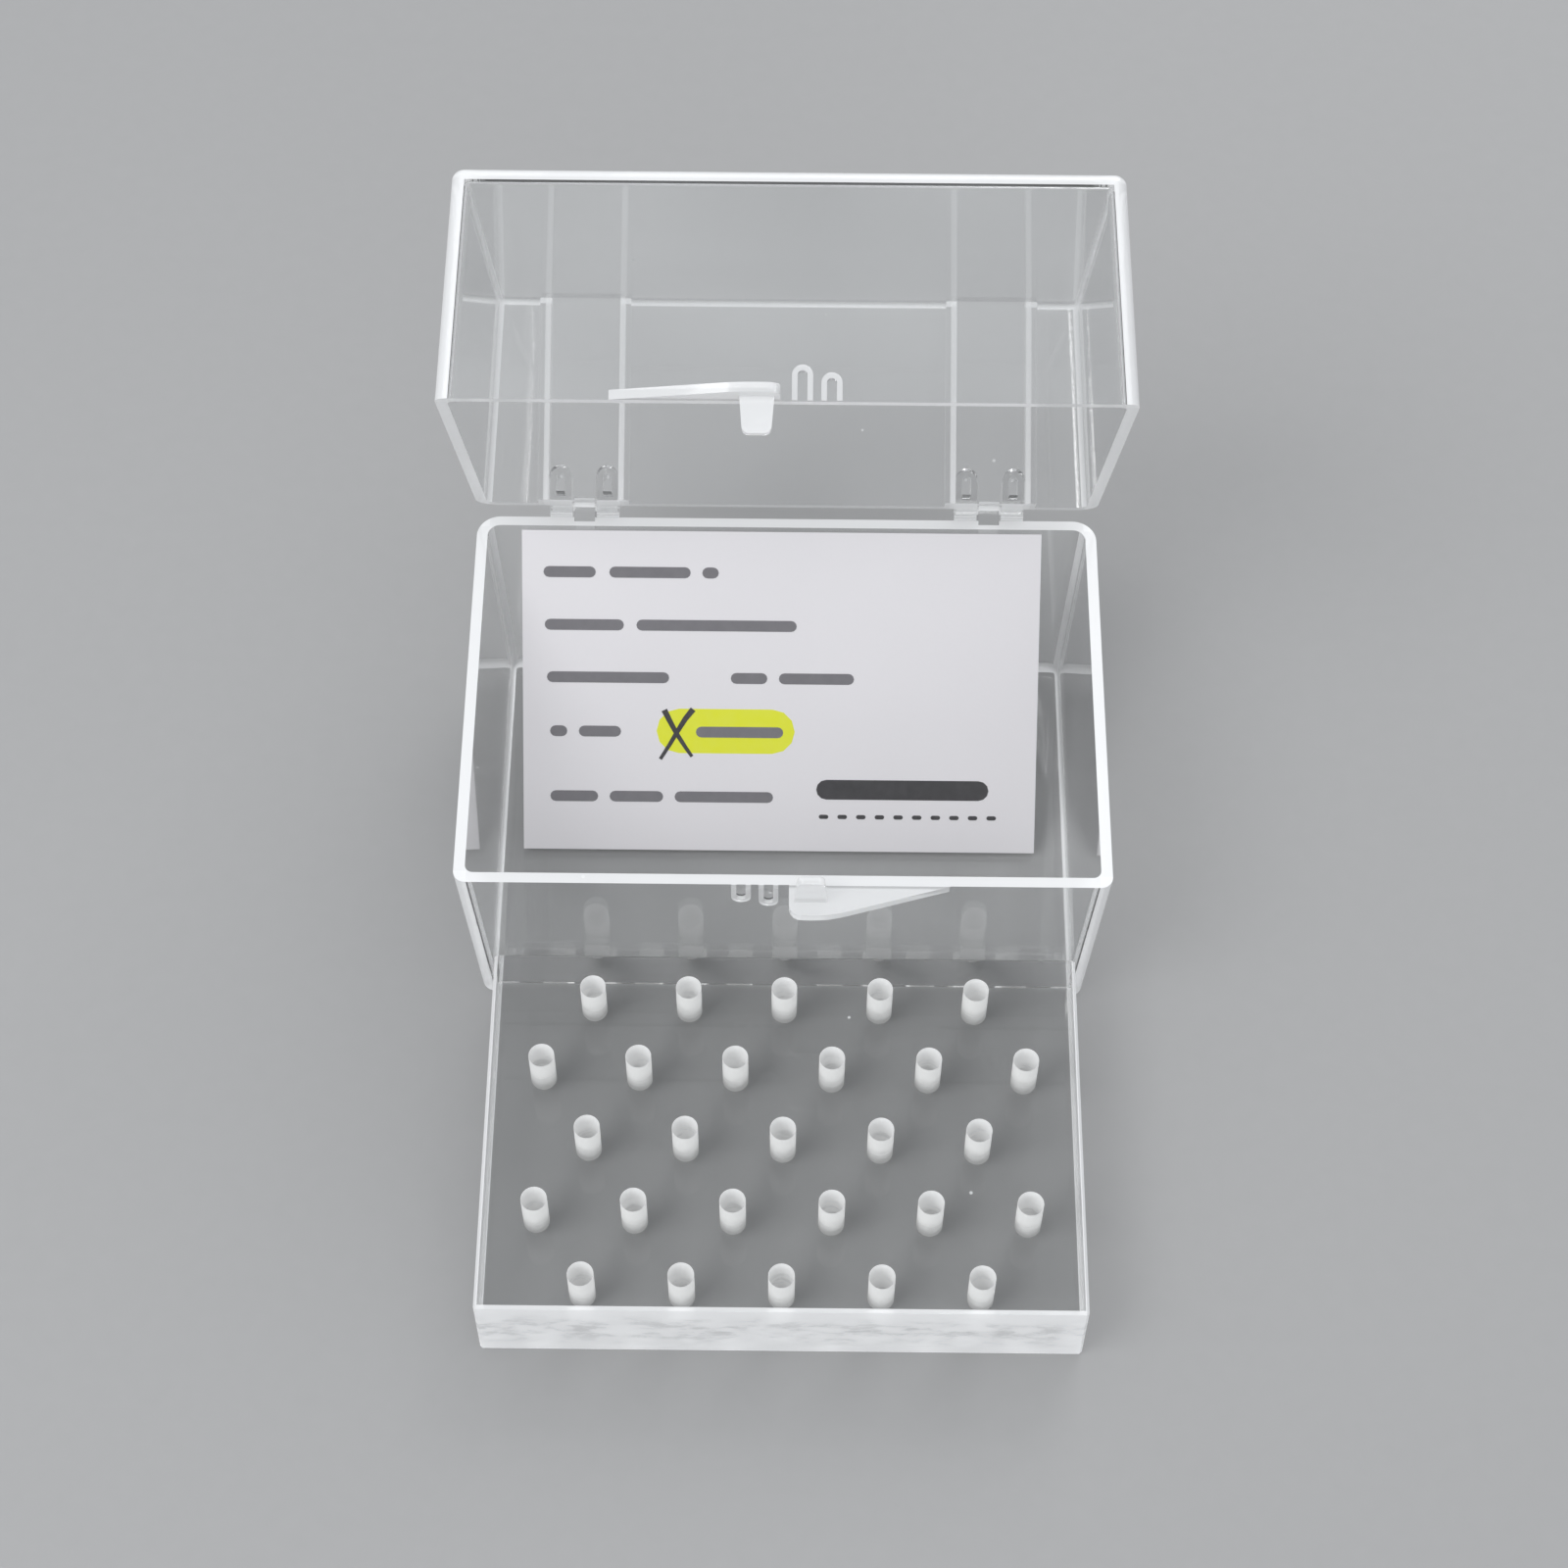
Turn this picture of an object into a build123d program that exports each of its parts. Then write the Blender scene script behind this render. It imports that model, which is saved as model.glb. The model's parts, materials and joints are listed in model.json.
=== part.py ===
from build123d import *
import math
import os

# A drilled bur block of clear acrylic with its own hinged clear case and a loose label card.
# Frame: millimetres, +Z up. The origin is the centre of the case base's underside.
# The case opens towards -Y, its hinge runs along X at the back, and the block stands in front.

# Block sizes
hole_diameter = 2.5
hole_depth = 8.0
drill_point_angle = 118.0
hole_pitch = 9.525
row_pitch = 7.7
row_counts = [5, 6, 5, 6, 5]
side_margin = 5.2
end_margin = 3.6
block_height = 10.0
block_edge_break = 0.25
block_shift = 0.24
block_gap = 0.4

# Case sizes
wall = 1.1
block_clearance = 0.57
base_height = 24.8
lid_height = 21.9
draft_angle = 2.7
front_corner = 1.2
back_corner = 2.4
foot_round = 1.0
inner_round = 0.4
inner_corner = 0.8
rim_gap = 0.15
lid_open_angle = 66.0

# Hinge sizes
hinge_spacing = 41.6
recess_clear = 7.1
recess_depth = 1.6
axis_above_rim = 0.25
pin_diameter = 0.9
pin_clearance = 0.06
eye_wall = 0.42
eye_clearance = 0.17
lug_width = 2.3
lug_height = 3.8
lug_reach = 1.5
ear_clearance = 0.2
ear_drop = 4.6
ear_top_angle = 135.0
ear_under_angle = -37.0
lug_back_angle = 24.0
snap_share = 0.78
heel_length = 0.8
heel_gap = 0.1
window_width = 0.9
window_height = 1.9
window_rise = 1.1

# Closure sizes
flange_half_length = 13.5
flange_reach = 3.9
flange_thickness = 0.9
flange_tip_round = 12.0
slot_clearance = 1.65
flange_end_round = 1.2
tab_offset = 2.7
tab_root_width = 3.3
tab_tip_width = 2.6
tab_thickness = 0.9
tab_length = 3.4
tab_corner_round = 0.65
tab_barb = 0.3
barb_width = 2.1
barb_clearance = 0.25
arch_width = 1.9
arch_pitch = 2.65
arch_rib = 0.5
arch_proud = 0.45
arch_tall = 3.3
arch_short = 2.6

# Card sizes
card_end_inset = 2.26
card_height = 33.6
card_thickness = 0.3
card_shift = -0.5
card_below_rim = 0.3
card_clearance = 0.1

# Worked-out sizes and places
block_length = (max(row_counts) - 1) * hole_pitch + 2 * side_margin
block_width = (len(row_counts) - 1) * row_pitch + 2 * end_margin
draft_slope = math.tan(math.radians(draft_angle))
wall_lean = draft_slope * (base_height - wall)
rim_length = block_length + 2 * (block_clearance + wall_lean + wall)
rim_width = block_width + 2 * (block_clearance + wall_lean + wall)
lid_rim_z = base_height + rim_gap
eye_radius = pin_diameter / 2 + pin_clearance + eye_wall
axis_behind_wall = eye_radius + eye_clearance
axis_y = rim_width / 2 + axis_behind_wall
axis_z = base_height + axis_above_rim
hinge_axis = Axis((0, axis_y, axis_z), (1, 0, 0))
hinge_places = [-hinge_spacing / 2, hinge_spacing / 2]
ear_width = recess_clear - 2 * lug_width - 2 * ear_clearance
tab_stand_off = arch_proud + tab_barb + barb_clearance
card_length = block_length - 2 * card_end_inset


def outline(inset, height):
    """The case's plan at a height from the rim: tight front corners and rounder back corners."""
    side = inset + draft_slope * abs(height)
    sides = Rectangle(rim_length - 2 * side, rim_width - 2 * side)
    front_pair = sides.vertices().group_by(Axis.Y)[0]
    sides = fillet(front_pair, max(front_corner - inset, inner_corner))
    back_pair = sides.vertices().group_by(Axis.Y)[-1]
    sides = fillet(back_pair, max(back_corner - inset, inner_corner))
    return Pos(0, 0, height) * sides


def drafted_box(inset, rim_z, height, end_round):
    """A box that narrows away from its rim, upwards, or downwards where the height is negative."""
    box = Pos(0, 0, rim_z) * loft([outline(inset, 0), outline(inset, height)], ruled=True)
    end = box.faces().sort_by(Axis.Z)[-1 if height > 0 else 0]
    return fillet(end.edges(), end_round)


def slab_yz(points, x_centre, width):
    """A plate lying across X, with its outline drawn in Y and Z."""
    face = Plane.YZ * Polygon(*points, align=None)
    return Pos(x_centre - width / 2, 0, 0) * extrude(face, width, dir=(1, 0, 0))


def on_eye(angle):
    """A point in Y and Z on the round of a hinge eye, its angle measured up from the back."""
    turn = math.radians(angle)
    return (axis_y + eye_radius * math.cos(turn), axis_z + eye_radius * math.sin(turn))


def rod_x(radius, x_centre, length):
    """A rod along the hinge axis."""
    turned = Rot(0, 90, 0) * Cylinder(radius, length)
    return Pos(x_centre, axis_y, axis_z) * turned


def closure():
    """The base's thumb flange, snap tab and detent arches. The lid's are the same, turned over."""
    front = -rim_width / 2
    left = tab_offset - flange_half_length
    right = tab_offset + flange_half_length
    root = front + wall / 2
    tip = (tab_offset, front - flange_reach)
    plan = Polygon((left, root), (left, front), tip, (right, front), (right, root), align=None)
    plan = fillet(plan.vertices().sort_by(Axis.Y)[0], flange_tip_round)
    end = tab_root_width / 2 + slot_clearance - tab_offset
    plan -= Pos((left + end) / 2, front) * Rectangle(end - left, 2 * flange_reach)
    plan = fillet(plan.vertices().group_by(Axis.X)[0].sort_by(Axis.Y)[0], flange_end_round)
    flange = Pos(0, 0, base_height - flange_thickness) * extrude(plan, flange_thickness)

    outer = front - tab_stand_off - tab_thickness
    face = Polygon(
        (tab_offset - tab_root_width / 2, base_height - flange_thickness),
        (tab_offset + tab_root_width / 2, base_height - flange_thickness),
        (tab_offset + tab_tip_width / 2, base_height + tab_length),
        (tab_offset - tab_tip_width / 2, base_height + tab_length),
        align=None,
    )
    face = fillet(face.vertices().group_by(Axis.Y)[-1], tab_corner_round)
    tab = Pos(0, outer, 0) * extrude(Plane.XZ * face, -tab_thickness)
    barb_z = base_height + tab_length - tab_barb - tab_corner_round
    barb = Rot(0, 90, 0) * Cylinder(tab_barb, barb_width)
    tab += Pos(tab_offset, outer + tab_thickness, barb_z) * barb

    left_arch = arch(-tab_offset - arch_pitch / 2, arch_short, front)
    right_arch = arch(-tab_offset + arch_pitch / 2, arch_tall, front)
    return flange + tab + left_arch + right_arch


def arch(x_centre, height, front):
    """A low raised loop on the front wall, hanging from the rim, that the other tab snaps over."""
    shapes = []
    for inset in (0, arch_rib):
        half = arch_width / 2 - inset
        drop = height - inset - half
        body = Pos(0, -drop / 2) * Rectangle(2 * half, drop)
        shapes.append(body + Pos(0, -drop) * Circle(half))
    ring = Plane.XZ * (shapes[0] - shapes[1])
    return Pos(x_centre, front - arch_proud, base_height) * extrude(ring, -(arch_proud + wall / 2))


def hinge_ear(x_centre):
    """The base's ear with the stub pins that the lid's eyes clip on."""
    back = rim_width / 2
    web = slab_yz(
        [
            (back - wall / 2, base_height - ear_drop),
            (back - wall / 2, base_height),
            on_eye(ear_top_angle),
            on_eye(ear_under_angle),
        ],
        x_centre,
        ear_width,
    )
    pin_length = recess_clear - 2 * ear_clearance
    return web + rod_x(eye_radius, x_centre, ear_width) + rod_x(pin_diameter / 2, x_centre, pin_length)


def make_case_base():
    """The open lower tray, moulded in one piece with its ears, flange, tab and arches."""
    outer = drafted_box(0, base_height, -base_height, foot_round)
    cavity = drafted_box(wall, base_height, -(base_height - wall), inner_round)
    parts = outer + closure()
    for x_centre in hinge_places:
        parts += hinge_ear(x_centre)
    return parts - cavity


def wall_prism(depth, x_centre, width):
    """What lies outside a plane that runs a set depth inside the lid's back wall, with its draft."""
    far = rim_width
    over = 1.0
    low_y = rim_width / 2 - depth + draft_slope * over
    high_y = rim_width / 2 - depth - draft_slope * (lid_height + over)
    low_z = lid_rim_z - over
    high_z = lid_rim_z + lid_height + over
    return slab_yz([(low_y, low_z), (far, low_z), (far, high_z), (high_y, high_z)], x_centre, width)


def loop_prism(x_centre, width, foot_z, height, start_y):
    """A straight bar towards the back whose section is a slot with a round head."""
    straight = height - width / 2
    face = Pos(0, straight / 2) * Rectangle(width, straight) + Pos(0, straight) * Circle(width / 2)
    return Pos(x_centre, start_y, foot_z) * extrude(Plane.XZ * face, -rim_width / 2)


def hinge_lug(x_centre):
    """One of the lid's lugs: a gusset in the recess that ends in a snap eye with a stop heel."""
    inside = axis_y - axis_behind_wall - recess_depth - wall / 2
    body = slab_yz(
        [
            (inside, lid_rim_z),
            (axis_y, lid_rim_z),
            on_eye(lug_back_angle),
            (inside + lug_reach + wall / 2, lid_rim_z + lug_height),
            (inside, lid_rim_z + lug_height),
        ],
        x_centre,
        lug_width,
    )
    heel_reach = axis_behind_wall - heel_gap
    heel = Box(lug_width, heel_reach, heel_length, align=(Align.CENTER, Align.MAX, Align.MAX))
    heel = Pos(x_centre, axis_y, axis_z) * Rot(lid_open_angle, 0, 0) * heel
    body &= loop_prism(x_centre, lug_width, lid_rim_z - wall, lug_height + wall, rim_width / 4)
    window_y = rim_width / 2 - recess_depth
    window = loop_prism(x_centre, window_width, lid_rim_z + window_rise, window_height, window_y)
    return body - window + rod_x(eye_radius, x_centre, lug_width) + heel


def snap_gap(x_centre):
    """The eye's running bore and the mouth through which the pin is pushed in."""
    mouth = Box(recess_clear, snap_share * pin_diameter, axis_behind_wall + eye_radius,
                align=(Align.CENTER, Align.CENTER, Align.MAX))
    mouth = Pos(x_centre, axis_y, axis_z) * Rot(lid_open_angle, 0, 0) * mouth
    return mouth + rod_x(pin_diameter / 2 + pin_clearance, x_centre, recess_clear)


def make_closed_lid():
    """The lid as moulded, in its closed place over the base."""
    outer = drafted_box(0, lid_rim_z, lid_height, foot_round)
    cavity = drafted_box(wall, lid_rim_z, lid_height - wall, inner_round)
    for x_centre in hinge_places:
        outer -= wall_prism(recess_depth, x_centre, recess_clear)
        cavity -= wall_prism(recess_depth + wall, x_centre, recess_clear + 2 * wall)
    turned_closure = mirror(mirror(closure(), Plane.YZ), Plane.XY.offset((base_height + lid_rim_z) / 2))
    lid = outer + turned_closure - cavity
    for x_centre in hinge_places:
        for side in (-1, 1):
            lid += hinge_lug(x_centre + side * (recess_clear - lug_width) / 2)
        lid -= snap_gap(x_centre)
    return lid


def make_case_lid():
    """The lid swung open about the hinge to where its heels meet the base's back wall."""
    return make_closed_lid().rotate(hinge_axis, -lid_open_angle)


def hole_places():
    """The centre of each drilled hole on the block, row by row from the back."""
    places = []
    for row, count in enumerate(row_counts):
        y = ((len(row_counts) - 1) / 2 - row) * row_pitch
        for column in range(count):
            places.append(((column - (count - 1) / 2) * hole_pitch, y))
    return places


def make_bur_block():
    """The sawn acrylic block with its staggered blind holes."""
    block = Box(block_length, block_width, block_height, align=(Align.CENTER, Align.CENTER, Align.MIN))
    block = chamfer(block.edges(), block_edge_break)
    point_height = hole_diameter / 2 / math.tan(math.radians(drill_point_angle / 2))
    drill = Cylinder(hole_diameter / 2, hole_depth, align=(Align.CENTER, Align.CENTER, Align.MAX))
    point = Cone(hole_diameter / 2, 0, point_height, align=(Align.CENTER, Align.CENTER, Align.MIN))
    drill += Pos(0, 0, -hole_depth) * Rot(180, 0, 0) * point
    holes = [Pos(x, y, block_height) * drill for x, y in hole_places()]
    block -= holes
    case_front = rim_width / 2 - draft_slope * (base_height - block_height)
    return Pos(block_shift, -case_front - block_gap - block_width / 2, 0) * block


def make_label_card():
    """The stiff card, leaning with its foot on the floor and its head on the back wall."""
    head_z = base_height - card_below_rim
    floor_z = wall + card_clearance
    wall_y = rim_width / 2 - wall - card_clearance
    rise = head_z - floor_z - card_thickness
    lean = math.degrees(math.asin(rise / card_height))
    card = Box(card_length, card_height, card_thickness, align=(Align.CENTER, Align.MAX, Align.MIN))
    card = Rot(lean, 0, 0) * card
    box = card.bounding_box()
    return Pos(card_shift, wall_y - box.max.Y, floor_z - box.min.Z) * card


nodes = {
    "case_base": make_case_base(),
    "case_lid": make_case_lid(),
    "bur_block": make_bur_block(),
    "label_card": make_label_card(),
}

os.makedirs("parts", exist_ok=True)
for name, shape in nodes.items():
    export_step(shape, f"parts/{name}.step")
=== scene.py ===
import json
import math

import bmesh
import bpy
from bpy.props import FloatProperty, FloatVectorProperty, IntProperty, PointerProperty
from mathutils import Matrix, Vector


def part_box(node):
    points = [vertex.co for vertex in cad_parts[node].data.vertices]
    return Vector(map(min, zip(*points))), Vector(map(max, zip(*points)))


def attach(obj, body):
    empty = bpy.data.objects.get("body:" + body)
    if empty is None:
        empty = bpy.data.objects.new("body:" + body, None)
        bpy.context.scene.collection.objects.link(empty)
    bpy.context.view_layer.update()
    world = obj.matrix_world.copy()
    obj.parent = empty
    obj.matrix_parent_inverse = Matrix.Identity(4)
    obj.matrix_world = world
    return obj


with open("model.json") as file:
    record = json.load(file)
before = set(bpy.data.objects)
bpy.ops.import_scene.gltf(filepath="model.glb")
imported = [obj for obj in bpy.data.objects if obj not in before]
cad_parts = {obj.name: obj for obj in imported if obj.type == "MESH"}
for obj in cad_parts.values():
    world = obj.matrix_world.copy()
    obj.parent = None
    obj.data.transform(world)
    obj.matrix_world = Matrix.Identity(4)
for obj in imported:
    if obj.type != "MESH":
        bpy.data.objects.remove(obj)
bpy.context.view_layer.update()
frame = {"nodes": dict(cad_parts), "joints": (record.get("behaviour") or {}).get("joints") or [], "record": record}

# A clear drilled bur block, its hinged clear case and the label card that leans in it.
# Everything is in metres, in the frame's own axes: +Z up, the case opens towards -Y.

bl_info = {
    "name": "Bur block with hinged case",
    "version": (1, 0, 0),
    "blender": (4, 5, 0),
    "location": "3D View > Sidebar > Bur Block",
    "description": "Finishes a drilled acrylic bur block, its clear case and its label card",
    "category": "Object",
}

MM = 0.001

# The block and its holes
BLOCK_LOW, BLOCK_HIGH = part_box("bur_block")
BLOCK_MIDDLE = (BLOCK_LOW + BLOCK_HIGH) / 2
HOLE = next(mount for mount in frame["record"]["mounts"] if mount["name"] == "bur_hole")
HOLE_RADIUS = HOLE["dims"]["r_mm"] * MM
HOLE_DEPTH = HOLE["dims"]["length_mm"] * MM
DRILL_HALF_ANGLE = math.radians(59)
BORE_SKIN = 0.02 * MM       # how far the frosted skin lies inside the acrylic

# The case, its rim worked out from its hinge and its box
HINGE = frame["joints"][0]
HINGE_AXIS = Vector(HINGE["pos_m"])
LID_OPEN = math.radians(max(abs(limit) for limit in HINGE["range_deg"]))
AXIS_ABOVE_RIM = 0.25 * MM
AXIS_BEHIND_WALL = 1.1 * MM
CASE_LOW, CASE_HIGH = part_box("case_base")
RIM_LENGTH = CASE_HIGH.x - CASE_LOW.x
RIM_WIDTH = 2 * (HINGE_AXIS.y - AXIS_BEHIND_WALL)
BASE_HEIGHT = HINGE_AXIS.z - AXIS_ABOVE_RIM
LID_HEIGHT = 21.9 * MM
WALL = 1.1 * MM
DRAFT = math.tan(math.radians(2.7))
HINGE_OFFSET = 20.8 * MM    # from the middle of the case to the middle of a hinge
RECESS_HALF = 3.55 * MM     # half the width of a hinge recess

# Painted light bands and optics of the clear plastics
PAINTED_EDGE_GLOW = 0.16            # painted glow standing in for light that clear plastic pipes to its rims and sawn faces
PAINTED_BORE_GLOW = 0.36            # painted glow standing in for light that the polished block pipes to its rough bores
EDGE_LINE = 0.35 * MM       # width of the painted light line along the block's edges
WALL_BAND = 1.25 * MM       # how far the painted highlight of a wall seen end on reaches along its neighbour
RECESS_LINE = 0.55 * MM     # width of the painted light line along a hinge recess
RIM_SKIN = 0.25 * MM        # how far below the rim's top a face still counts as rim
CLOSURE_STAND = 0.04 * MM   # what stands further off the front wall belongs to the closure
HINGE_REACH = 3.0 * MM      # how far the hinge's parts reach in from the back wall
FACE_SLACK = 0.1 * MM       # keeps a face that lies on a limit inside it
BACK_SKIN = 0.3 * MM        # thickness of the layer that counts as the block's back face
ACRYLIC_BENDING = 1.49
STYRENE_BENDING = 1.58
ACRYLIC_CLEARNESS = 0.7     # share of straight light that passes each face
STYRENE_CLEARNESS = 0.8

# The stage; the camera stands where the photograph was taken from
FLOOR_RADIUS = 2.0
FLOOR_DROP = 0.02 * MM
LAMP_TARGET = (0.0, 0.0, 0.02)
LAMPS = (
    # name, place, size and share of the lamp power
    ("key_lamp", (-0.35, -0.25, 0.6), 0.35, 1.0),
    ("back_lamp", (0.25, 0.55, 0.5), 0.4, 0.8),
    ("front_lamp", (0.15, -0.7, 0.25), 0.3, 0.35),
)
SKY_COLOUR = (0.95, 0.97, 1.0, 1.0)
CAMERA_PLACE = (0.00054, -0.18201, 0.3012)
CAMERA_DOWN = math.radians(58.16)
CAMERA_YAW = math.radians(-0.35)
CAMERA_ROLL = math.radians(-0.25)
CAMERA_SHIFT = 0.0034
LIGHT_BOUNCES = 7


# Settings that a user would change

class BlockSettings(bpy.types.PropertyGroup):
    """Sizes and colours of the drilled block."""

    hole_pitch: FloatProperty(
        name="Hole pitch", description="Distance between holes in a row",
        default=9.525 * MM, unit="LENGTH", precision=5)
    row_pitch: FloatProperty(
        name="Row pitch", description="Distance between rows of holes",
        default=7.7 * MM, unit="LENGTH", precision=5)
    rows: IntProperty(
        name="Rows", description="Number of rows, which take turns to be short and long", default=5)
    short_row: IntProperty(
        name="Short row", description="Holes in the first, third and fifth rows", default=5)
    acrylic: FloatVectorProperty(
        name="Acrylic", description="Tint of the clear acrylic",
        subtype="COLOR", size=4, default=(0.975, 0.985, 0.985, 1.0))
    sawn: FloatVectorProperty(
        name="Sawn edge", description="Colour of the satin sawn edges",
        subtype="COLOR", size=4, default=(0.9, 0.91, 0.92, 1.0))
    frost: FloatVectorProperty(
        name="Frosted bore", description="Colour of the rough drilled bores",
        subtype="COLOR", size=4, default=(0.84, 0.845, 0.84, 1.0))
    # Painted shade: how bright a bore's deep end is against its mouth.
    deep_painted_shade: FloatProperty(
        name="Bore end tone", description="Brightness of a bore's deep end against its mouth",
        default=0.5, min=0.0, max=1.0, subtype="FACTOR")
    back_share: FloatProperty(
        name="Back face satin", description="How satin the sawn face towards the case looks",
        default=0.03, min=0.0, max=1.0, subtype="FACTOR")
    # Painted highlight: how strongly the white line along the block's edges shows.
    edge_painted_highlight: FloatProperty(
        name="Edge line", description="How strongly the block's edges show white",
        default=0.8, min=0.0, max=1.0, subtype="FACTOR")


class CaseSettings(bpy.types.PropertyGroup):
    """Colours of the hinged case."""

    styrene: FloatVectorProperty(
        name="Styrene", description="Tint of the clear moulding",
        subtype="COLOR", size=4, default=(0.98, 0.985, 0.985, 1.0))
    edge: FloatVectorProperty(
        name="Edge light", description="Colour of the light that collects in rims and edges",
        subtype="COLOR", size=4, default=(0.88, 0.89, 0.90, 1.0))
    # Painted highlights: how strongly the rims, corners, closure parts and hinge recesses show white.
    rim_painted_highlight: FloatProperty(
        name="Rim whiteness", description="How strongly the cut rims show white",
        default=0.9, min=0.0, max=1.0, subtype="FACTOR")
    corner_painted_highlight: FloatProperty(
        name="Corner whiteness", description="How strongly walls seen end on at a corner show white",
        default=0.85, min=0.0, max=1.0, subtype="FACTOR")
    closure_painted_highlight: FloatProperty(
        name="Closure whiteness", description="How strongly the flange, tab and arches show white",
        default=0.5, min=0.0, max=1.0, subtype="FACTOR")
    recess_painted_highlight: FloatProperty(
        name="Recess whiteness", description="How strongly the hinge recess and lug sides show white",
        default=0.4, min=0.0, max=1.0, subtype="FACTOR")
    # Painted sheen: a faint white veil of reflected light on the clear walls.
    painted_sheen: FloatProperty(
        name="Haze", description="Faint veil on the clear walls",
        default=0.08, min=0.0, max=1.0, subtype="FACTOR")


class CardSettings(bpy.types.PropertyGroup):
    """Sizes and colours of the card's plain print."""

    paper: FloatVectorProperty(
        name="Paper", description="Colour of the card",
        subtype="COLOR", size=4, default=(0.86, 0.845, 0.87, 1.0))
    ink: FloatVectorProperty(
        name="Ink", description="Colour of the printed bars",
        subtype="COLOR", size=4, default=(0.17, 0.165, 0.18, 1.0))
    bold_ink: FloatVectorProperty(
        name="Bold ink", description="Colour of the heavy bar and of the pen",
        subtype="COLOR", size=4, default=(0.025, 0.024, 0.028, 1.0))
    marker: FloatVectorProperty(
        name="Marker", description="Colour of the highlighter",
        subtype="COLOR", size=4, default=(0.80, 0.84, 0.012, 1.0))
    bar_height: FloatProperty(
        name="Bar height", description="Height of a printed bar",
        default=1.15 * MM, unit="LENGTH", precision=5)
    print_depth: FloatProperty(
        name="Print depth", description="Thickness of the ink on the card",
        default=0.012 * MM, unit="LENGTH", precision=6)


class StageSettings(bpy.types.PropertyGroup):
    """The plain floor, the lamps and the camera."""

    floor: FloatVectorProperty(
        name="Floor", description="Colour of the floor",
        subtype="COLOR", size=4, default=(0.40, 0.402, 0.405, 1.0))
    sky: FloatProperty(
        name="Sky", description="Strength of the even light from all round", default=0.6)
    lamp_power: FloatProperty(
        name="Lamp power", description="Power of the main soft lamp", default=2.1, unit="POWER")
    lens: FloatProperty(
        name="Lens", description="Focal length of the camera", default=76.25, unit="CAMERA")


# Shader building

class Sock:
    """A node socket with arithmetic, so that shader maths reads as an expression."""

    def __init__(self, shader, socket):
        self.shader = shader
        self.socket = socket

    def _maths(self, operation, *values):
        return self.shader.add("ShaderNodeMath", {"operation": operation}, list(values)).out()

    def __add__(self, other):
        return self._maths("ADD", self, other)

    def __radd__(self, other):
        return self._maths("ADD", other, self)

    def __sub__(self, other):
        return self._maths("SUBTRACT", self, other)

    def __rsub__(self, other):
        return self._maths("SUBTRACT", other, self)

    def __mul__(self, other):
        return self._maths("MULTIPLY", self, other)

    def __rmul__(self, other):
        return self._maths("MULTIPLY", other, self)

    def __truediv__(self, other):
        return self._maths("DIVIDE", self, other)

    def __gt__(self, other):
        return self._maths("GREATER_THAN", self, other)

    def __lt__(self, other):
        return self._maths("LESS_THAN", self, other)

    def clamp(self):
        return self.shader.add("ShaderNodeClamp", {}, [self, 0.0, 1.0]).out()

    def size(self):
        return self._maths("ABSOLUTE", self)


class Added:
    """A node that was added, with its outputs by name or number."""

    def __init__(self, shader, node):
        self.shader = shader
        self.node = node

    def out(self, key=0):
        return Sock(self.shader, self.node.outputs[key])


class Shader:
    """A material's node tree, emptied, with one method that adds any node."""

    def __init__(self, name):
        self.material = bpy.data.materials.new(name)
        self.material.use_nodes = True
        self.tree = self.material.node_tree
        self.tree.nodes.clear()

    def add(self, kind, settings=None, values=None):
        """A node of one type: its settings first, then its sockets' values or links."""
        node = self.tree.nodes.new(kind)
        for key, value in (settings or {}).items():
            setattr(node, key, value)
        pairs = values.items() if isinstance(values, dict) else enumerate(values or [])
        for key, value in pairs:
            if isinstance(value, Sock):
                self.tree.links.new(value.socket, node.inputs[key])
            elif value is not None:
                node.inputs[key].default_value = value
        return Added(self, node)

    def place(self):
        """Object coordinates in metres."""
        return self.add("ShaderNodeTexCoord").out("Object")

    def axes(self, vector):
        """The x, y and z of a place."""
        split = self.add("ShaderNodeSeparateXYZ", {}, [vector])
        return split.out("X"), split.out("Y"), split.out("Z")

    def facing(self, direction):
        """How far the surface faces a direction of the resting piece, from -1 to 1."""
        normal = self.add("ShaderNodeTexCoord").out("Normal")
        return self.add("ShaderNodeVectorMath", {"operation": "DOT_PRODUCT"},
                        [normal, Vector(direction).normalized()]).out("Value")

    def beyond(self, vector, direction, point):
        """How far a place lies beyond a point in a direction, in metres."""
        along = self.add("ShaderNodeVectorMath", {"operation": "DOT_PRODUCT"}, [vector, direction])
        return along.out("Value") - point.dot(direction)

    def noise(self, vector, scale, detail=2.0, rough=0.5):
        return self.add("ShaderNodeTexNoise", {}, {
            "Vector": vector, "Scale": scale, "Detail": detail, "Roughness": rough}).out("Fac")

    def stretch(self, vector, scale):
        """The same coordinates with each axis scaled, for streaks."""
        return self.add("ShaderNodeMapping", {}, {"Vector": vector, "Scale": scale}).out()

    def specks(self, vector, scale, share):
        """Scattered small spots, such as dust, that cover about a share of the surface."""
        spots = self.add("ShaderNodeTexVoronoi", {}, {"Vector": vector, "Scale": scale})
        chance = self.add("ShaderNodeSeparateColor", {}, [spots.out("Color")]).out(0)
        return (spots.out("Distance") < 0.1) * (chance < share)

    def bump(self, height, distance, strength=1.0):
        return self.add("ShaderNodeBump", {}, {
            "Height": height, "Distance": distance, "Strength": strength}).out()

    def blend(self, factor, first, second):
        """A colour between two colours."""
        return self.add("ShaderNodeMix", {"data_type": "RGBA"}, {
            "Factor": factor, 6: first, 7: second}).out(2)

    def mix(self, factor, first, second):
        """A surface between two surfaces."""
        return self.add("ShaderNodeMixShader", {}, [factor, first, second]).out()

    def surface(self, values):
        return self.add("ShaderNodeBsdfPrincipled", {}, values).out()

    def finish(self, surface):
        self.add("ShaderNodeOutputMaterial", {}, {"Surface": surface})
        return self.material


def toned(colour, share):
    """A colour with its red, green and blue scaled by a share."""
    return tuple(share * channel for channel in colour[:3]) + (1.0,)


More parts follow.
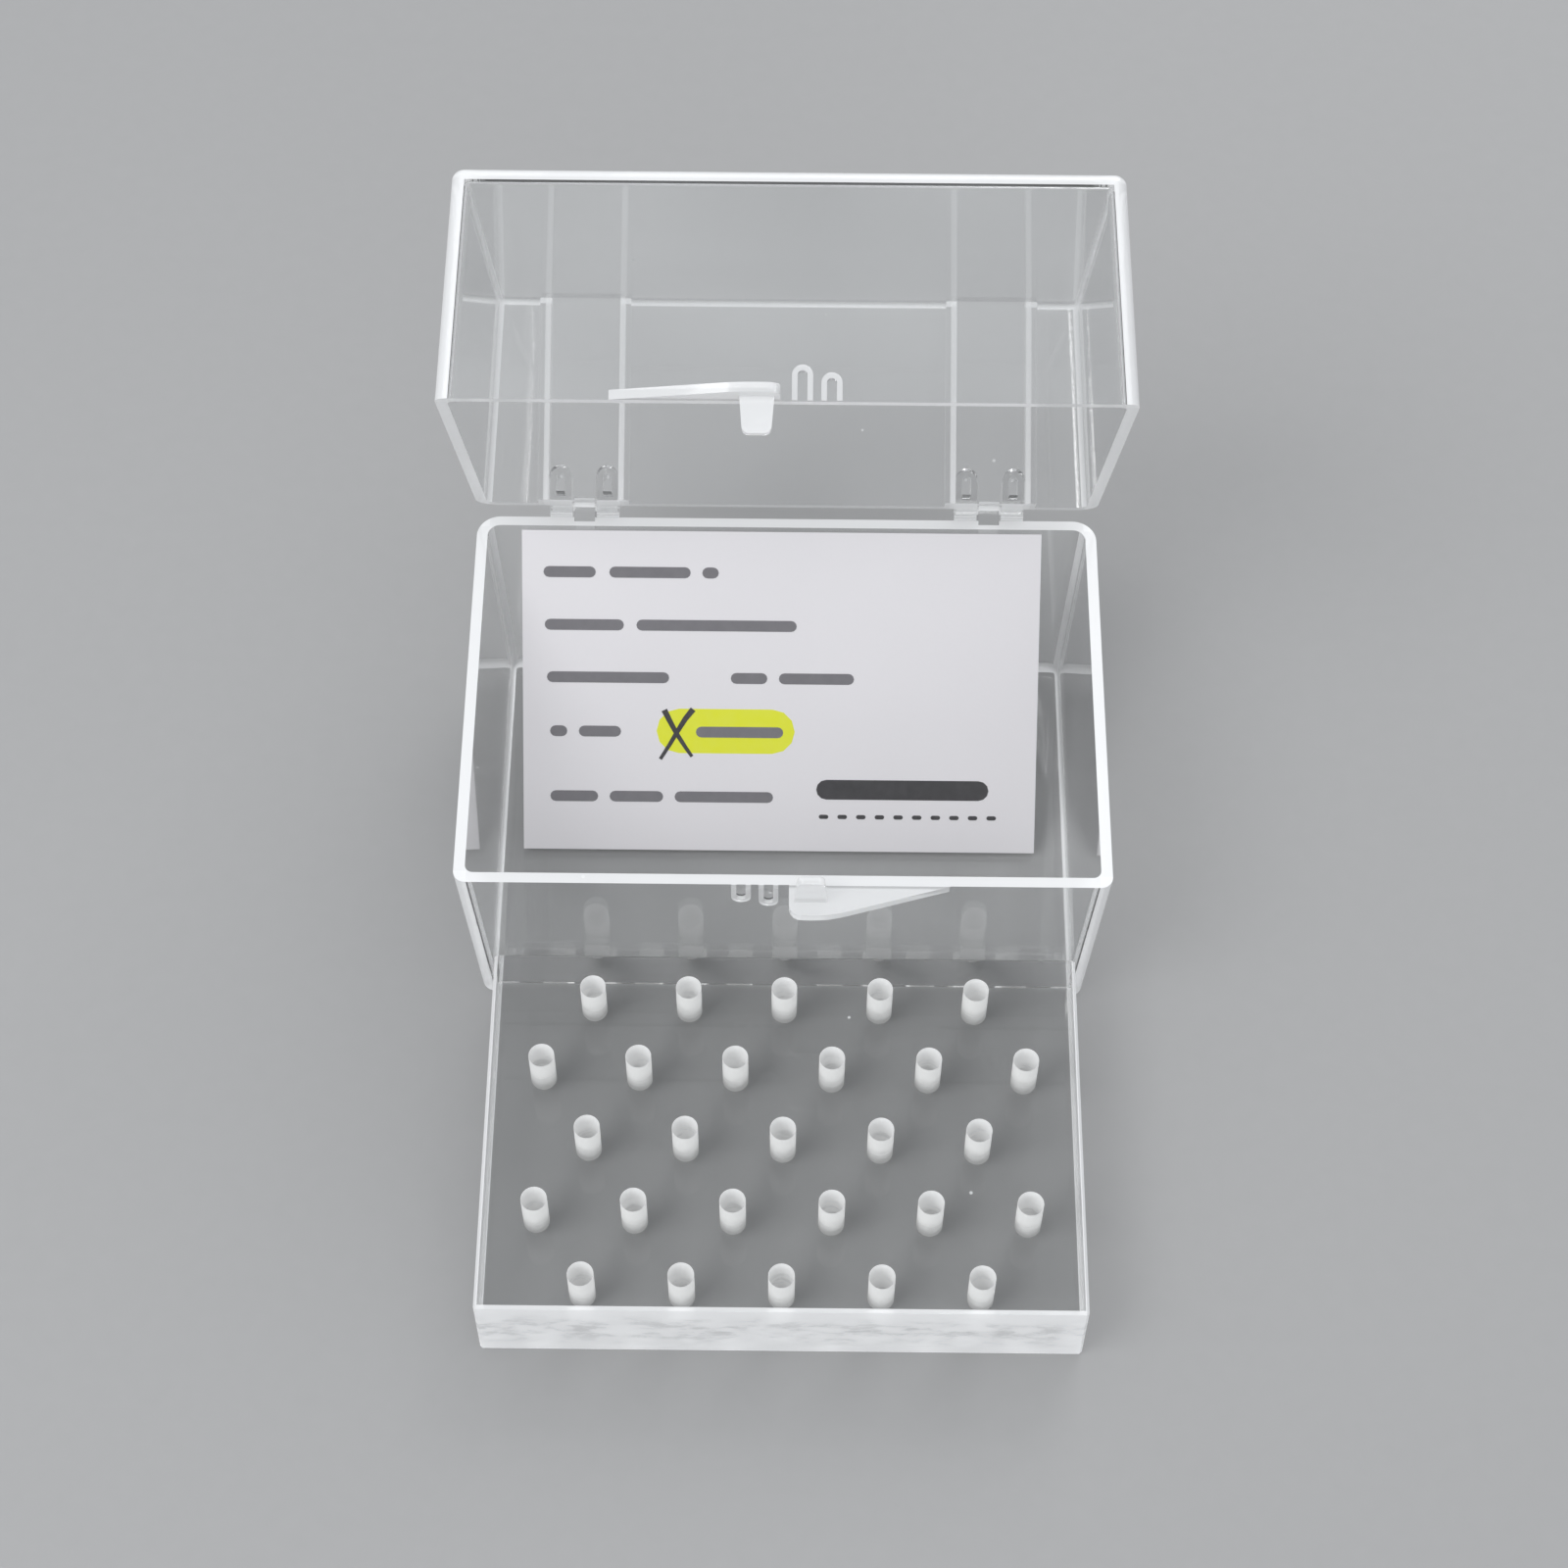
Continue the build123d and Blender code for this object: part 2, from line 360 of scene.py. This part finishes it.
def let_light_through(shader, surface, share):
    """Lets a share of the light pass straight to what stands behind, as clear plastic does."""
    clear = shader.add("ShaderNodeBsdfTransparent", {}, [(share, share, share, 1.0)]).out()
    path = shader.add("ShaderNodeLightPath")
    return shader.mix(path.out("Is Shadow Ray") + path.out("Is Diffuse Ray"), surface, clear)


def acrylic_material(settings):
    """Clear acrylic, polished above and below, satin with fine saw lines on its sawn sides, which glow faintly as
    painted light and carry painted shade; a painted white line runs along the block's edges.
    """
    shader = Shader("acrylic")
    vector = shader.place()
    x, y, z = shader.axes(vector)
    smear = shader.noise(vector, 90.0, 1.0)
    scuff = shader.noise(shader.stretch(vector, (900.0, 2600.0, 900.0)), 1.0, 0.0)
    clear = shader.surface({
        "Base Color": tuple(settings.acrylic),
        "Roughness": 0.012 + smear * 0.02,
        "IOR": ACRYLIC_BENDING,
        "Transmission Weight": 1.0,
        "Normal": shader.bump(scuff, 0.0012 * MM, 0.4),
    })
    saw = shader.noise(shader.stretch(vector, (420.0, 420.0, 5200.0)), 1.0, 3.0)
    mottle = shader.noise(shader.stretch(vector, (300.0, 300.0, 700.0)), 1.0, 4.0, 0.65)
    # Painted shade: darker blotches in the middle band of the sawn faces, where the bores are seen through them.
    off_middle = z / BLOCK_HIGH.z - 0.5
    middle = (1.0 - off_middle * off_middle * 7.0).clamp()
    painted_bore_shade = ((mottle - 0.44) * 5.0).clamp() * middle
    tone = shader.blend(painted_bore_shade, tuple(settings.sawn), toned(settings.sawn, 0.72))
    # The sawn faces glow faintly as painted light, in their own tone with its painted shade.
    sawn = shader.surface({
        "Base Color": tone,
        "Roughness": 0.32 + saw * 0.2,
        "IOR": ACRYLIC_BENDING,
        "Transmission Weight": 0.25,
        "Emission Color": tone,
        "Emission Strength": PAINTED_EDGE_GLOW,
        "Normal": shader.bump(saw + mottle * 0.5, 0.02 * MM, 0.6),
    })
    up = shader.facing((0, 0, 1))
    side = 1.0 - (up * up > 0.3)
    towards_case = y > (BLOCK_HIGH.y - BACK_SKIN)
    satin = side * (1.0 - towards_case * (1.0 - settings.back_share))
    # Painted highlight: a white line along the block's edges.
    ends = (x - BLOCK_MIDDLE.x).size() > (BLOCK_HIGH.x - BLOCK_MIDDLE.x - EDGE_LINE)
    front = y < (BLOCK_LOW.y + EDGE_LINE)
    top = z > (BLOCK_HIGH.z - EDGE_LINE)
    foot = z < (BLOCK_LOW.z + EDGE_LINE)
    lines = ((ends + front + top + foot) > 1.5) * settings.edge_painted_highlight
    dust = shader.specks(vector, 600.0, 0.006) * 0.6
    rough = (satin + lines + dust + smear * 0.03).clamp()
    return shader.finish(let_light_through(shader, shader.mix(rough, clear, sawn), ACRYLIC_CLEARNESS))


def styrene_material(name, settings, rim_normal, rim_point, front, front_point, height, recess_painted_highlight):
    """Clear moulded styrene whose rims, corners and small closure parts collect light, shown as painted highlights
    that are white with a faint painted glow.
    """
    shader = Shader(name)
    vector = shader.place()
    side = shader.axes(vector)[0].size()
    flow = shader.noise(vector, 55.0, 1.0)
    clear = shader.surface({
        "Base Color": tuple(settings.styrene),
        "Roughness": 0.01 + flow * 0.03,
        "IOR": STYRENE_BENDING,
        "Transmission Weight": 1.0,
        "Normal": shader.bump(flow, 0.012 * MM, 0.5),
    })
    # The surface of the painted highlights: white with a faint painted glow.
    edge = shader.surface({
        "Base Color": tuple(settings.edge),
        "Roughness": 0.22,
        "IOR": STYRENE_BENDING,
        "Transmission Weight": 0.15,
        "Emission Color": tuple(settings.edge),
        "Emission Strength": PAINTED_EDGE_GLOW,
    })
    past_rim = shader.beyond(vector, rim_normal, rim_point)
    past_front = shader.beyond(vector, front, front_point)
    draft = past_rim * DRAFT
    from_sides = RIM_LENGTH / 2 + draft - side
    from_front = draft - past_front
    from_back = draft + past_front + RIM_WIDTH
    from_end = past_rim + height
    corner = ((from_sides < WALL_BAND) + (from_front < WALL_BAND)
              + (from_back < WALL_BAND) + (from_end < WALL_BAND)) > 1.5
    closure = past_front > CLOSURE_STAND
    rim = (past_rim > -RIM_SKIN) * (shader.facing(rim_normal) > 0.8) * (1.0 - closure)
    off_hinge = (side - HINGE_OFFSET).size()
    at_back = from_back < HINGE_REACH
    recess = at_back * (off_hinge > RECESS_HALF) * (off_hinge < (RECESS_HALF + RECESS_LINE))
    across = shader.facing((1, 0, 0)).size() > 0.9
    lug = at_back * across * (side < (HINGE_OFFSET + RECESS_HALF + WALL + FACE_SLACK))
    dust = shader.specks(vector, 520.0, 0.006)
    # Painted highlights on the rims, corners, closure parts, hinge recesses and lug sides, plus the painted sheen;
    # the dust is real.
    white = (rim * settings.rim_painted_highlight + corner * settings.corner_painted_highlight
             + closure * settings.closure_painted_highlight + (recess + lug) * recess_painted_highlight
             + dust * 0.6 + flow * settings.painted_sheen).clamp()
    return shader.finish(let_light_through(shader, shader.mix(white, clear, edge), STYRENE_CLEARNESS))


def frost_material(settings, top):
    """Rough drilled acrylic with a faint painted glow: bright white at the mouth, greyer towards the drill's point
    by painted shade.
    """
    shader = Shader("frosted_bore")
    vector = shader.place()
    z = shader.axes(vector)[2]
    depth = ((top - z) / HOLE_DEPTH).clamp()
    rings = shader.noise(shader.stretch(vector, (300.0, 300.0, 4200.0)), 1.0, 2.0)
    patch = shader.noise(vector, 650.0, 2.0)
    # Painted shade: darker with depth towards the drill's point, varied a little at random.
    painted_depth_shade = ((depth - 0.4) * 2.0 + (rings - 0.5) * 0.3 + (patch - 0.5) * 0.6).clamp()
    colour = shader.blend(painted_depth_shade, tuple(settings.frost), toned(settings.frost, settings.deep_painted_shade))
    # The bores glow as painted light, less where the painted shade lies.
    return shader.finish(shader.surface({
        "Base Color": colour,
        "Roughness": 0.6,
        "Emission Color": colour,
        "Emission Strength": PAINTED_BORE_GLOW,
        "Normal": shader.bump(rings, 0.02 * MM, 0.7),
    }))


def paper_material(settings):
    """Uncoated white card with faint fibres and a slightly uneven tone."""
    shader = Shader("card_stock")
    vector = shader.place()
    tone = shader.noise(vector, 60.0, 3.0)
    fibre = shader.noise(vector, 2600.0, 3.0, 0.65)
    mixed = (tone * 0.7 + fibre * 0.3).clamp()
    return shader.finish(shader.surface({
        "Base Color": shader.blend(mixed, toned(settings.paper, 0.94), tuple(settings.paper)),
        "Roughness": 0.75 + fibre * 0.12,
        "Normal": shader.bump(fibre, 0.02 * MM, 0.35),
    }))


def ink_material(name, colour, roughness, patchy):
    """Ink or marker that soaks in unevenly."""
    shader = Shader(name)
    soak = shader.noise(shader.place(), 900.0, 3.0)
    lighter = tuple(channel + patchy * (1.0 - channel) for channel in colour[:3]) + (1.0,)
    return shader.finish(shader.surface({
        "Base Color": shader.blend(soak, tuple(colour), lighter),
        "Roughness": roughness,
        "Normal": shader.bump(soak, 0.006 * MM, 0.3),
    }))


def floor_material(settings):
    """A plain pale table with a very faint grain."""
    shader = Shader("floor")
    grain = shader.noise(shader.place(), 500.0, 3.0)
    return shader.finish(shader.surface({
        "Base Color": shader.blend(grain, toned(settings.floor, 0.96), tuple(settings.floor)),
        "Roughness": 0.62,
        "Normal": shader.bump(grain, 0.03 * MM, 0.3),
    }))


# Mesh helpers

def add_object(name, mesh):
    piece = bpy.data.objects.new(name, mesh)
    bpy.context.scene.collection.objects.link(piece)
    return piece


def dress(node, material):
    """Puts one material on a CAD node."""
    mesh = frame["nodes"][node].data
    mesh.materials.clear()
    mesh.materials.append(material)


def closed_prism(mesh, outline, lift, depth, place):
    """Adds a flat closed shape, drawn anticlockwise on the card, as a thin solid."""
    low = [mesh.verts.new(place(u, v, lift)) for u, v in outline]
    high = [mesh.verts.new(place(u, v, lift + depth)) for u, v in outline]
    mesh.faces.new(list(reversed(low)))
    mesh.faces.new(high)
    for i in range(len(outline)):
        j = (i + 1) % len(outline)
        mesh.faces.new((low[i], low[j], high[j], high[i]))


def to_piece(name, mesh, material, body):
    """Turns a bmesh into a finished piece that rides on a body."""
    data = bpy.data.meshes.new(name)
    bmesh.ops.recalc_face_normals(mesh, faces=mesh.faces)
    mesh.to_mesh(data)
    mesh.free()
    data.materials.append(material)
    piece = add_object(name, data)
    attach(piece, body)
    return piece


# Frosted bores, made by a node tree from the rule that places the holes

def bore_profile(radius, depth, point_depth, segments=28):
    """One bore as an open cup: a round wall and a drill's conical end, mouth at z 0."""
    mesh = bmesh.new()
    rings = []
    for level in (0.0, 0.25, 0.5, 0.75, 1.0):
        ring = []
        for i in range(segments):
            turn = 2 * math.pi * i / segments
            ring.append(mesh.verts.new((radius * math.cos(turn), radius * math.sin(turn), -depth * level)))
        rings.append(ring)
    for upper, lower in zip(rings, rings[1:]):
        for i in range(segments):
            j = (i + 1) % segments
            mesh.faces.new((upper[i], upper[j], lower[j], lower[i]))
    tip = mesh.verts.new((0, 0, -depth - point_depth))
    for i in range(segments):
        mesh.faces.new((rings[-1][i], rings[-1][(i + 1) % segments], tip))
    for face in mesh.faces:
        face.smooth = True
    data = bpy.data.meshes.new("bore_shape")
    mesh.to_mesh(data)
    mesh.free()
    return data


def staggered_tree(shape, material):
    """A node tree that sets one shape on staggered rows of points."""
    tree = bpy.data.node_groups.new("staggered_holes", "GeometryNodeTree")
    tree.interface.new_socket("Geometry", in_out="OUTPUT", socket_type="NodeSocketGeometry")
    inputs = {}
    for name, kind in (("Hole pitch", "NodeSocketFloat"), ("Row pitch", "NodeSocketFloat"),
                       ("Rows", "NodeSocketInt"), ("Short row", "NodeSocketInt"),
                       ("Centre", "NodeSocketVector")):
        inputs[name] = tree.interface.new_socket(name, in_out="INPUT", socket_type=kind).identifier

    def add(kind, settings=None, values=None):
        node = tree.nodes.new(kind)
        for key, value in (settings or {}).items():
            setattr(node, key, value)
        for key, value in (values or {}).items():
            if isinstance(value, bpy.types.NodeSocket):
                tree.links.new(value, node.inputs[key])
            else:
                node.inputs[key].default_value = value
        return node.outputs

    def maths(operation, *values):
        return add("ShaderNodeMath", {"operation": operation}, dict(enumerate(values)))[0]

    given = add("NodeGroupInput")
    long_row = maths("ADD", given["Short row"], 1)
    points = add("GeometryNodeMeshLine", {"mode": "OFFSET"},
                 {"Count": maths("MULTIPLY", given["Rows"], long_row), "Offset": (0, 0, 0)})["Mesh"]
    index = add("GeometryNodeInputIndex")[0]
    row = maths("FLOOR", maths("DIVIDE", maths("ADD", index, 0.5), long_row))
    column = maths("SUBTRACT", index, maths("MULTIPLY", row, long_row))
    is_short = maths("SUBTRACT", 1, maths("MODULO", row, 2))
    spare = maths("MULTIPLY", is_short, maths("COMPARE", column, given["Short row"], 0.5))
    shift = maths("SUBTRACT", maths("DIVIDE", given["Short row"], 2), maths("MULTIPLY", is_short, 0.5))
    across = maths("MULTIPLY", maths("SUBTRACT", column, shift), given["Hole pitch"])
    middle = maths("DIVIDE", maths("SUBTRACT", given["Rows"], 1), 2)
    back = maths("MULTIPLY", maths("SUBTRACT", middle, row), given["Row pitch"])
    where = add("ShaderNodeCombineXYZ", None, {"X": across, "Y": back})[0]
    where = add("ShaderNodeVectorMath", {"operation": "ADD"}, {0: where, 1: given["Centre"]})[0]
    points = add("GeometryNodeSetPosition", None, {"Geometry": points, "Position": where})[0]
    points = add("GeometryNodeDeleteGeometry", {"domain": "POINT"},
                 {"Geometry": points, "Selection": spare})[0]
    cup = add("GeometryNodeObjectInfo", {"transform_space": "ORIGINAL"}, {"Object": shape})["Geometry"]
    holes = add("GeometryNodeInstanceOnPoints", None, {"Points": points, "Instance": cup})[0]
    holes = add("GeometryNodeRealizeInstances", None, {"Geometry": holes})[0]
    holes = add("GeometryNodeSetMaterial", None, {"Geometry": holes, "Material": material})[0]
    out = tree.nodes.new("NodeGroupOutput")
    tree.links.new(holes, out.inputs[0])
    return tree, inputs


def plain_mesh(piece, name):
    """The piece's evaluated result as a plain mesh of its own."""
    bpy.context.view_layer.update()
    shown = piece.evaluated_get(bpy.context.evaluated_depsgraph_get())
    mesh = bpy.data.meshes.new_from_object(shown)
    mesh.name = name
    return mesh


class BURBLOCK_OT_block(bpy.types.Operator):
    """Finish the acrylic block and frost its drilled bores"""

    bl_idname = "burblock.block"
    bl_label = "Drilled block"

    def execute(self, context):
        settings = context.scene.burblock_block
        dress("bur_block", acrylic_material(settings))
        point_depth = HOLE_RADIUS / math.tan(DRILL_HALF_ANGLE) + BORE_SKIN
        cup = add_object("bore_shape", bore_profile(HOLE_RADIUS + BORE_SKIN, HOLE_DEPTH, point_depth))
        frost = frost_material(settings, BLOCK_HIGH.z)
        tree, inputs = staggered_tree(cup, frost)
        maker = add_object("bore_maker", bpy.data.meshes.new("bore_maker"))
        modifier = maker.modifiers.new("holes", "NODES")
        modifier.node_group = tree
        modifier[inputs["Hole pitch"]] = settings.hole_pitch
        modifier[inputs["Row pitch"]] = settings.row_pitch
        modifier[inputs["Rows"]] = settings.rows
        modifier[inputs["Short row"]] = settings.short_row
        modifier[inputs["Centre"]] = (HOLE["pos_m"][0], HOLE["pos_m"][1], BLOCK_HIGH.z - BORE_SKIN)
        mesh = plain_mesh(maker, "bore_frost")
        bpy.data.objects.remove(maker)
        bpy.data.objects.remove(cup)
        if not mesh.polygons:
            raise RuntimeError("the staggered holes came out empty")
        bores = add_object("bore_frost", mesh)
        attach(bores, "case")
        return {"FINISHED"}


class BURBLOCK_OT_case(bpy.types.Operator):
    """Finish the clear tray and lid of the hinged case"""

    bl_idname = "burblock.case"
    bl_label = "Hinged case"

    def execute(self, context):
        settings = context.scene.burblock_case
        up = Vector((0, 0, 1))
        front = Vector((0, -1, 0))
        front_wall = Vector((0, -RIM_WIDTH / 2, 0))
        dress("case_base", styrene_material(
            "styrene_base", settings, up, Vector((0, 0, BASE_HEIGHT)), front, front_wall, BASE_HEIGHT, 0.0))
        swing = Matrix.Rotation(-LID_OPEN, 3, "X")
        lid_front = HINGE_AXIS + swing @ (front_wall - Vector((0, HINGE_AXIS.y, 0)))
        dress("case_lid", styrene_material(
            "styrene_lid", settings, swing @ -up, HINGE_AXIS, swing @ front, lid_front, LID_HEIGHT,
            settings.recess_painted_highlight))
        return {"FINISHED"}


def card_place():
    """A function from places on the card's face, from its top left corner, to the frame."""
    points = [vertex.co.copy() for vertex in frame["nodes"]["label_card"].data.vertices]
    foot = min(points, key=lambda p: (round(p.y, 6), p.x))
    head = min(points, key=lambda p: (-round(p.z, 6), p.x))
    right = Vector((1, 0, 0))
    down = (foot - head).normalized()
    out = down.cross(right).normalized()
    if out.z < 0:
        out.negate()

    def place(u, v, lift):
        return head + right * u + down * v + out * lift

    return place


def rounded_bar(left, right, middle, height, steps=6):
    """A bar with round ends, as points going round it."""
    radius = height / 2
    points = []
    for centre, start in ((right - radius, -90), (left + radius, 90)):
        for i in range(steps + 1):
            turn = math.radians(start + 180 * i / steps)
            points.append((centre + radius * math.cos(turn), middle + radius * math.sin(turn)))
    return points


def pen_stroke(points, width):
    """A stroke of a felt pen that thins towards its end."""
    left, right = [], []
    for i, (u, v) in enumerate(points):
        before = Vector(points[max(i - 1, 0)])
        after = Vector(points[min(i + 1, len(points) - 1)])
        along = (after - before).normalized()
        side = Vector((-along.y, along.x)) * width / 2 * (1.0 - 0.45 * i / (len(points) - 1))
        left.append((u + side.x, v + side.y))
        right.append((u - side.x, v - side.y))
    return left + list(reversed(right))


class BURBLOCK_OT_card(bpy.types.Operator):
    """Finish the card and lay its plain printed bars, marker field and pen cross"""

    bl_idname = "burblock.card"
    bl_label = "Label card"

    # Each line's place from the card's top, then its bars from left to right, in millimetres
    lines = (
        (4.3, ((2.2, 7.6), (9.0, 17.4), (18.6, 20.3))),
        (9.8, ((2.3, 10.5), (11.8, 28.4))),
        (15.3, ((2.5, 15.2), (21.6, 25.4), (26.6, 34.4))),
        (21.0, ((2.8, 4.6), (5.8, 10.2), (18.0, 27.1))),
        (27.9, ((2.8, 7.8), (9.0, 14.6), (15.8, 26.1))),
    )
    badge = (30.6, 48.6, 27.0, 2.1)
    badge_dashes = (30.9, 1.95, 10, 1.0, 29.9, 0.45)
    marker_field = (13.9, 28.3, 20.9, 4.7)
    cross = (
        ((14.7, 18.7), (15.3, 19.9), (16.0, 21.2), (16.9, 22.6), (17.6, 23.6)),
        ((17.7, 18.6), (16.9, 19.6), (16.1, 20.9), (15.3, 22.3), (14.3, 23.9)),
    )

    def execute(self, context):
        settings = context.scene.burblock_card
        dress("label_card", paper_material(settings))
        place = card_place()
        depth = settings.print_depth

        marker = bmesh.new()
        left, right, middle, height = (size * MM for size in self.marker_field)
        closed_prism(marker, rounded_bar(left, right, middle, height), 0.0, depth, place)
        to_piece("marker_field", marker, ink_material("marker", settings.marker, 0.6, 0.06),
                 "case")

        bars = bmesh.new()
        height = settings.bar_height
        for middle, spans in self.lines:
            for left, right in spans:
                bar = rounded_bar(left * MM, right * MM, middle * MM, height)
                closed_prism(bars, bar, 0.0, 2 * depth, place)
        to_piece("printed_bars", bars, ink_material("ink", settings.ink, 0.5, 0.05), "case")

        bold = bmesh.new()
        left, right, middle, tall = (size * MM for size in self.badge)
        closed_prism(bold, rounded_bar(left, right, middle, tall), 0.0, 2 * depth, place)
        start, pitch, count, length, middle, tall = self.badge_dashes
        for number in range(count):
            left = (start + number * pitch) * MM
            dash = rounded_bar(left, left + length * MM, middle * MM, tall * MM)
            closed_prism(bold, dash, 0.0, 2 * depth, place)
        bold_ink = ink_material("bold_ink", settings.bold_ink, 0.45, 0.04)
        to_piece("bold_print", bold, bold_ink, "case")

        cross = bmesh.new()
        for number, stroke in enumerate(self.cross):
            points = [(u * MM, v * MM) for u, v in stroke]
            closed_prism(cross, pen_stroke(points, 0.62 * MM), 0.0, (3 + number) * depth, place)
        to_piece("pen_cross", cross, bold_ink, "case")
        return {"FINISHED"}


# Stage

def soft_lamp(name, place, size, power):
    """A square soft lamp that looks at the middle of the case."""
    lamp = bpy.data.lights.new(name, "AREA")
    lamp.shape = "SQUARE"
    lamp.size = size
    lamp.energy = power
    holder = add_object(name, lamp)
    holder.location = place
    holder.rotation_euler = (Vector(LAMP_TARGET) - Vector(place)).to_track_quat("-Z", "Y").to_euler()


class BURBLOCK_OT_stage(bpy.types.Operator):
    """Set the floor, the soft lamps, the sky and the camera"""

    bl_idname = "burblock.stage"
    bl_label = "Stage"

    def execute(self, context):
        scene = context.scene
        settings = scene.burblock_stage
        mesh = bmesh.new()
        bmesh.ops.create_circle(mesh, cap_ends=True, segments=64, radius=FLOOR_RADIUS)
        data = bpy.data.meshes.new("floor")
        mesh.to_mesh(data)
        mesh.free()
        data.materials.append(floor_material(settings))
        floor = add_object("floor", data)
        floor.location.z = -FLOOR_DROP

        for name, place, size, share in LAMPS:
            soft_lamp(name, place, size, settings.lamp_power * share)

        world = bpy.data.worlds.new("sky")
        scene.world = world
        world.use_nodes = True
        back = world.node_tree.nodes["Background"]
        back.inputs["Color"].default_value = SKY_COLOUR
        back.inputs["Strength"].default_value = settings.sky

        lens = bpy.data.cameras.new("camera")
        lens.sensor_width = 36.0
        lens.lens = settings.lens
        lens.shift_x = CAMERA_SHIFT
        lens.clip_start = 0.01
        camera = add_object("camera", lens)
        camera.matrix_world = (
            Matrix.Translation(CAMERA_PLACE)
            @ Matrix.Rotation(-CAMERA_YAW, 4, "Z")
            @ Matrix.Rotation(math.pi / 2 - CAMERA_DOWN, 4, "X")
            @ Matrix.Rotation(-CAMERA_ROLL, 4, "Z")
        )
        scene.camera = camera
        scene.view_settings.view_transform = "Standard"
        scene.cycles.caustics_reflective = False
        scene.cycles.caustics_refractive = False
        scene.cycles.max_bounces = LIGHT_BOUNCES
        scene.cycles.diffuse_bounces = 2
        scene.cycles.glossy_bounces = 3
        scene.cycles.transmission_bounces = LIGHT_BOUNCES
        return {"FINISHED"}


class BURBLOCK_PT_panel(bpy.types.Panel):
    """Lists the makers of the bur block and its settings"""

    bl_label = "Bur block"
    bl_space_type = "VIEW_3D"
    bl_region_type = "UI"
    bl_category = "Bur Block"

    def draw(self, context):
        for name, operators in PANEL_ROWS:
            box = self.layout.box()
            settings = getattr(context.scene, name)
            for key in settings.bl_rna.properties.keys():
                if key not in ("rna_type", "name"):
                    box.prop(settings, key)
            for operator in operators:
                box.operator(operator.bl_idname)


PANEL_ROWS = (
    ("burblock_stage", (BURBLOCK_OT_stage,)),
    ("burblock_block", (BURBLOCK_OT_block,)),
    ("burblock_case", (BURBLOCK_OT_case,)),
    ("burblock_card", (BURBLOCK_OT_card,)),
)
SETTINGS = {
    "burblock_block": BlockSettings,
    "burblock_case": CaseSettings,
    "burblock_card": CardSettings,
    "burblock_stage": StageSettings,
}
CLASSES = (
    BlockSettings, CaseSettings, CardSettings, StageSettings,
    BURBLOCK_OT_block, BURBLOCK_OT_case, BURBLOCK_OT_card, BURBLOCK_OT_stage,
    BURBLOCK_PT_panel,
)


def register():
    for cls in CLASSES:
        bpy.utils.register_class(cls)
    for name, group in SETTINGS.items():
        setattr(bpy.types.Scene, name, PointerProperty(type=group))


def unregister():
    for name in SETTINGS:
        delattr(bpy.types.Scene, name)
    for cls in reversed(CLASSES):
        bpy.utils.unregister_class(cls)


def main():
    register()
    for name, operators in PANEL_ROWS:
        for operator in operators:
            group, action = operator.bl_idname.split(".")
            getattr(getattr(bpy.ops, group), action)()


if __name__ == "__main__":
    main()
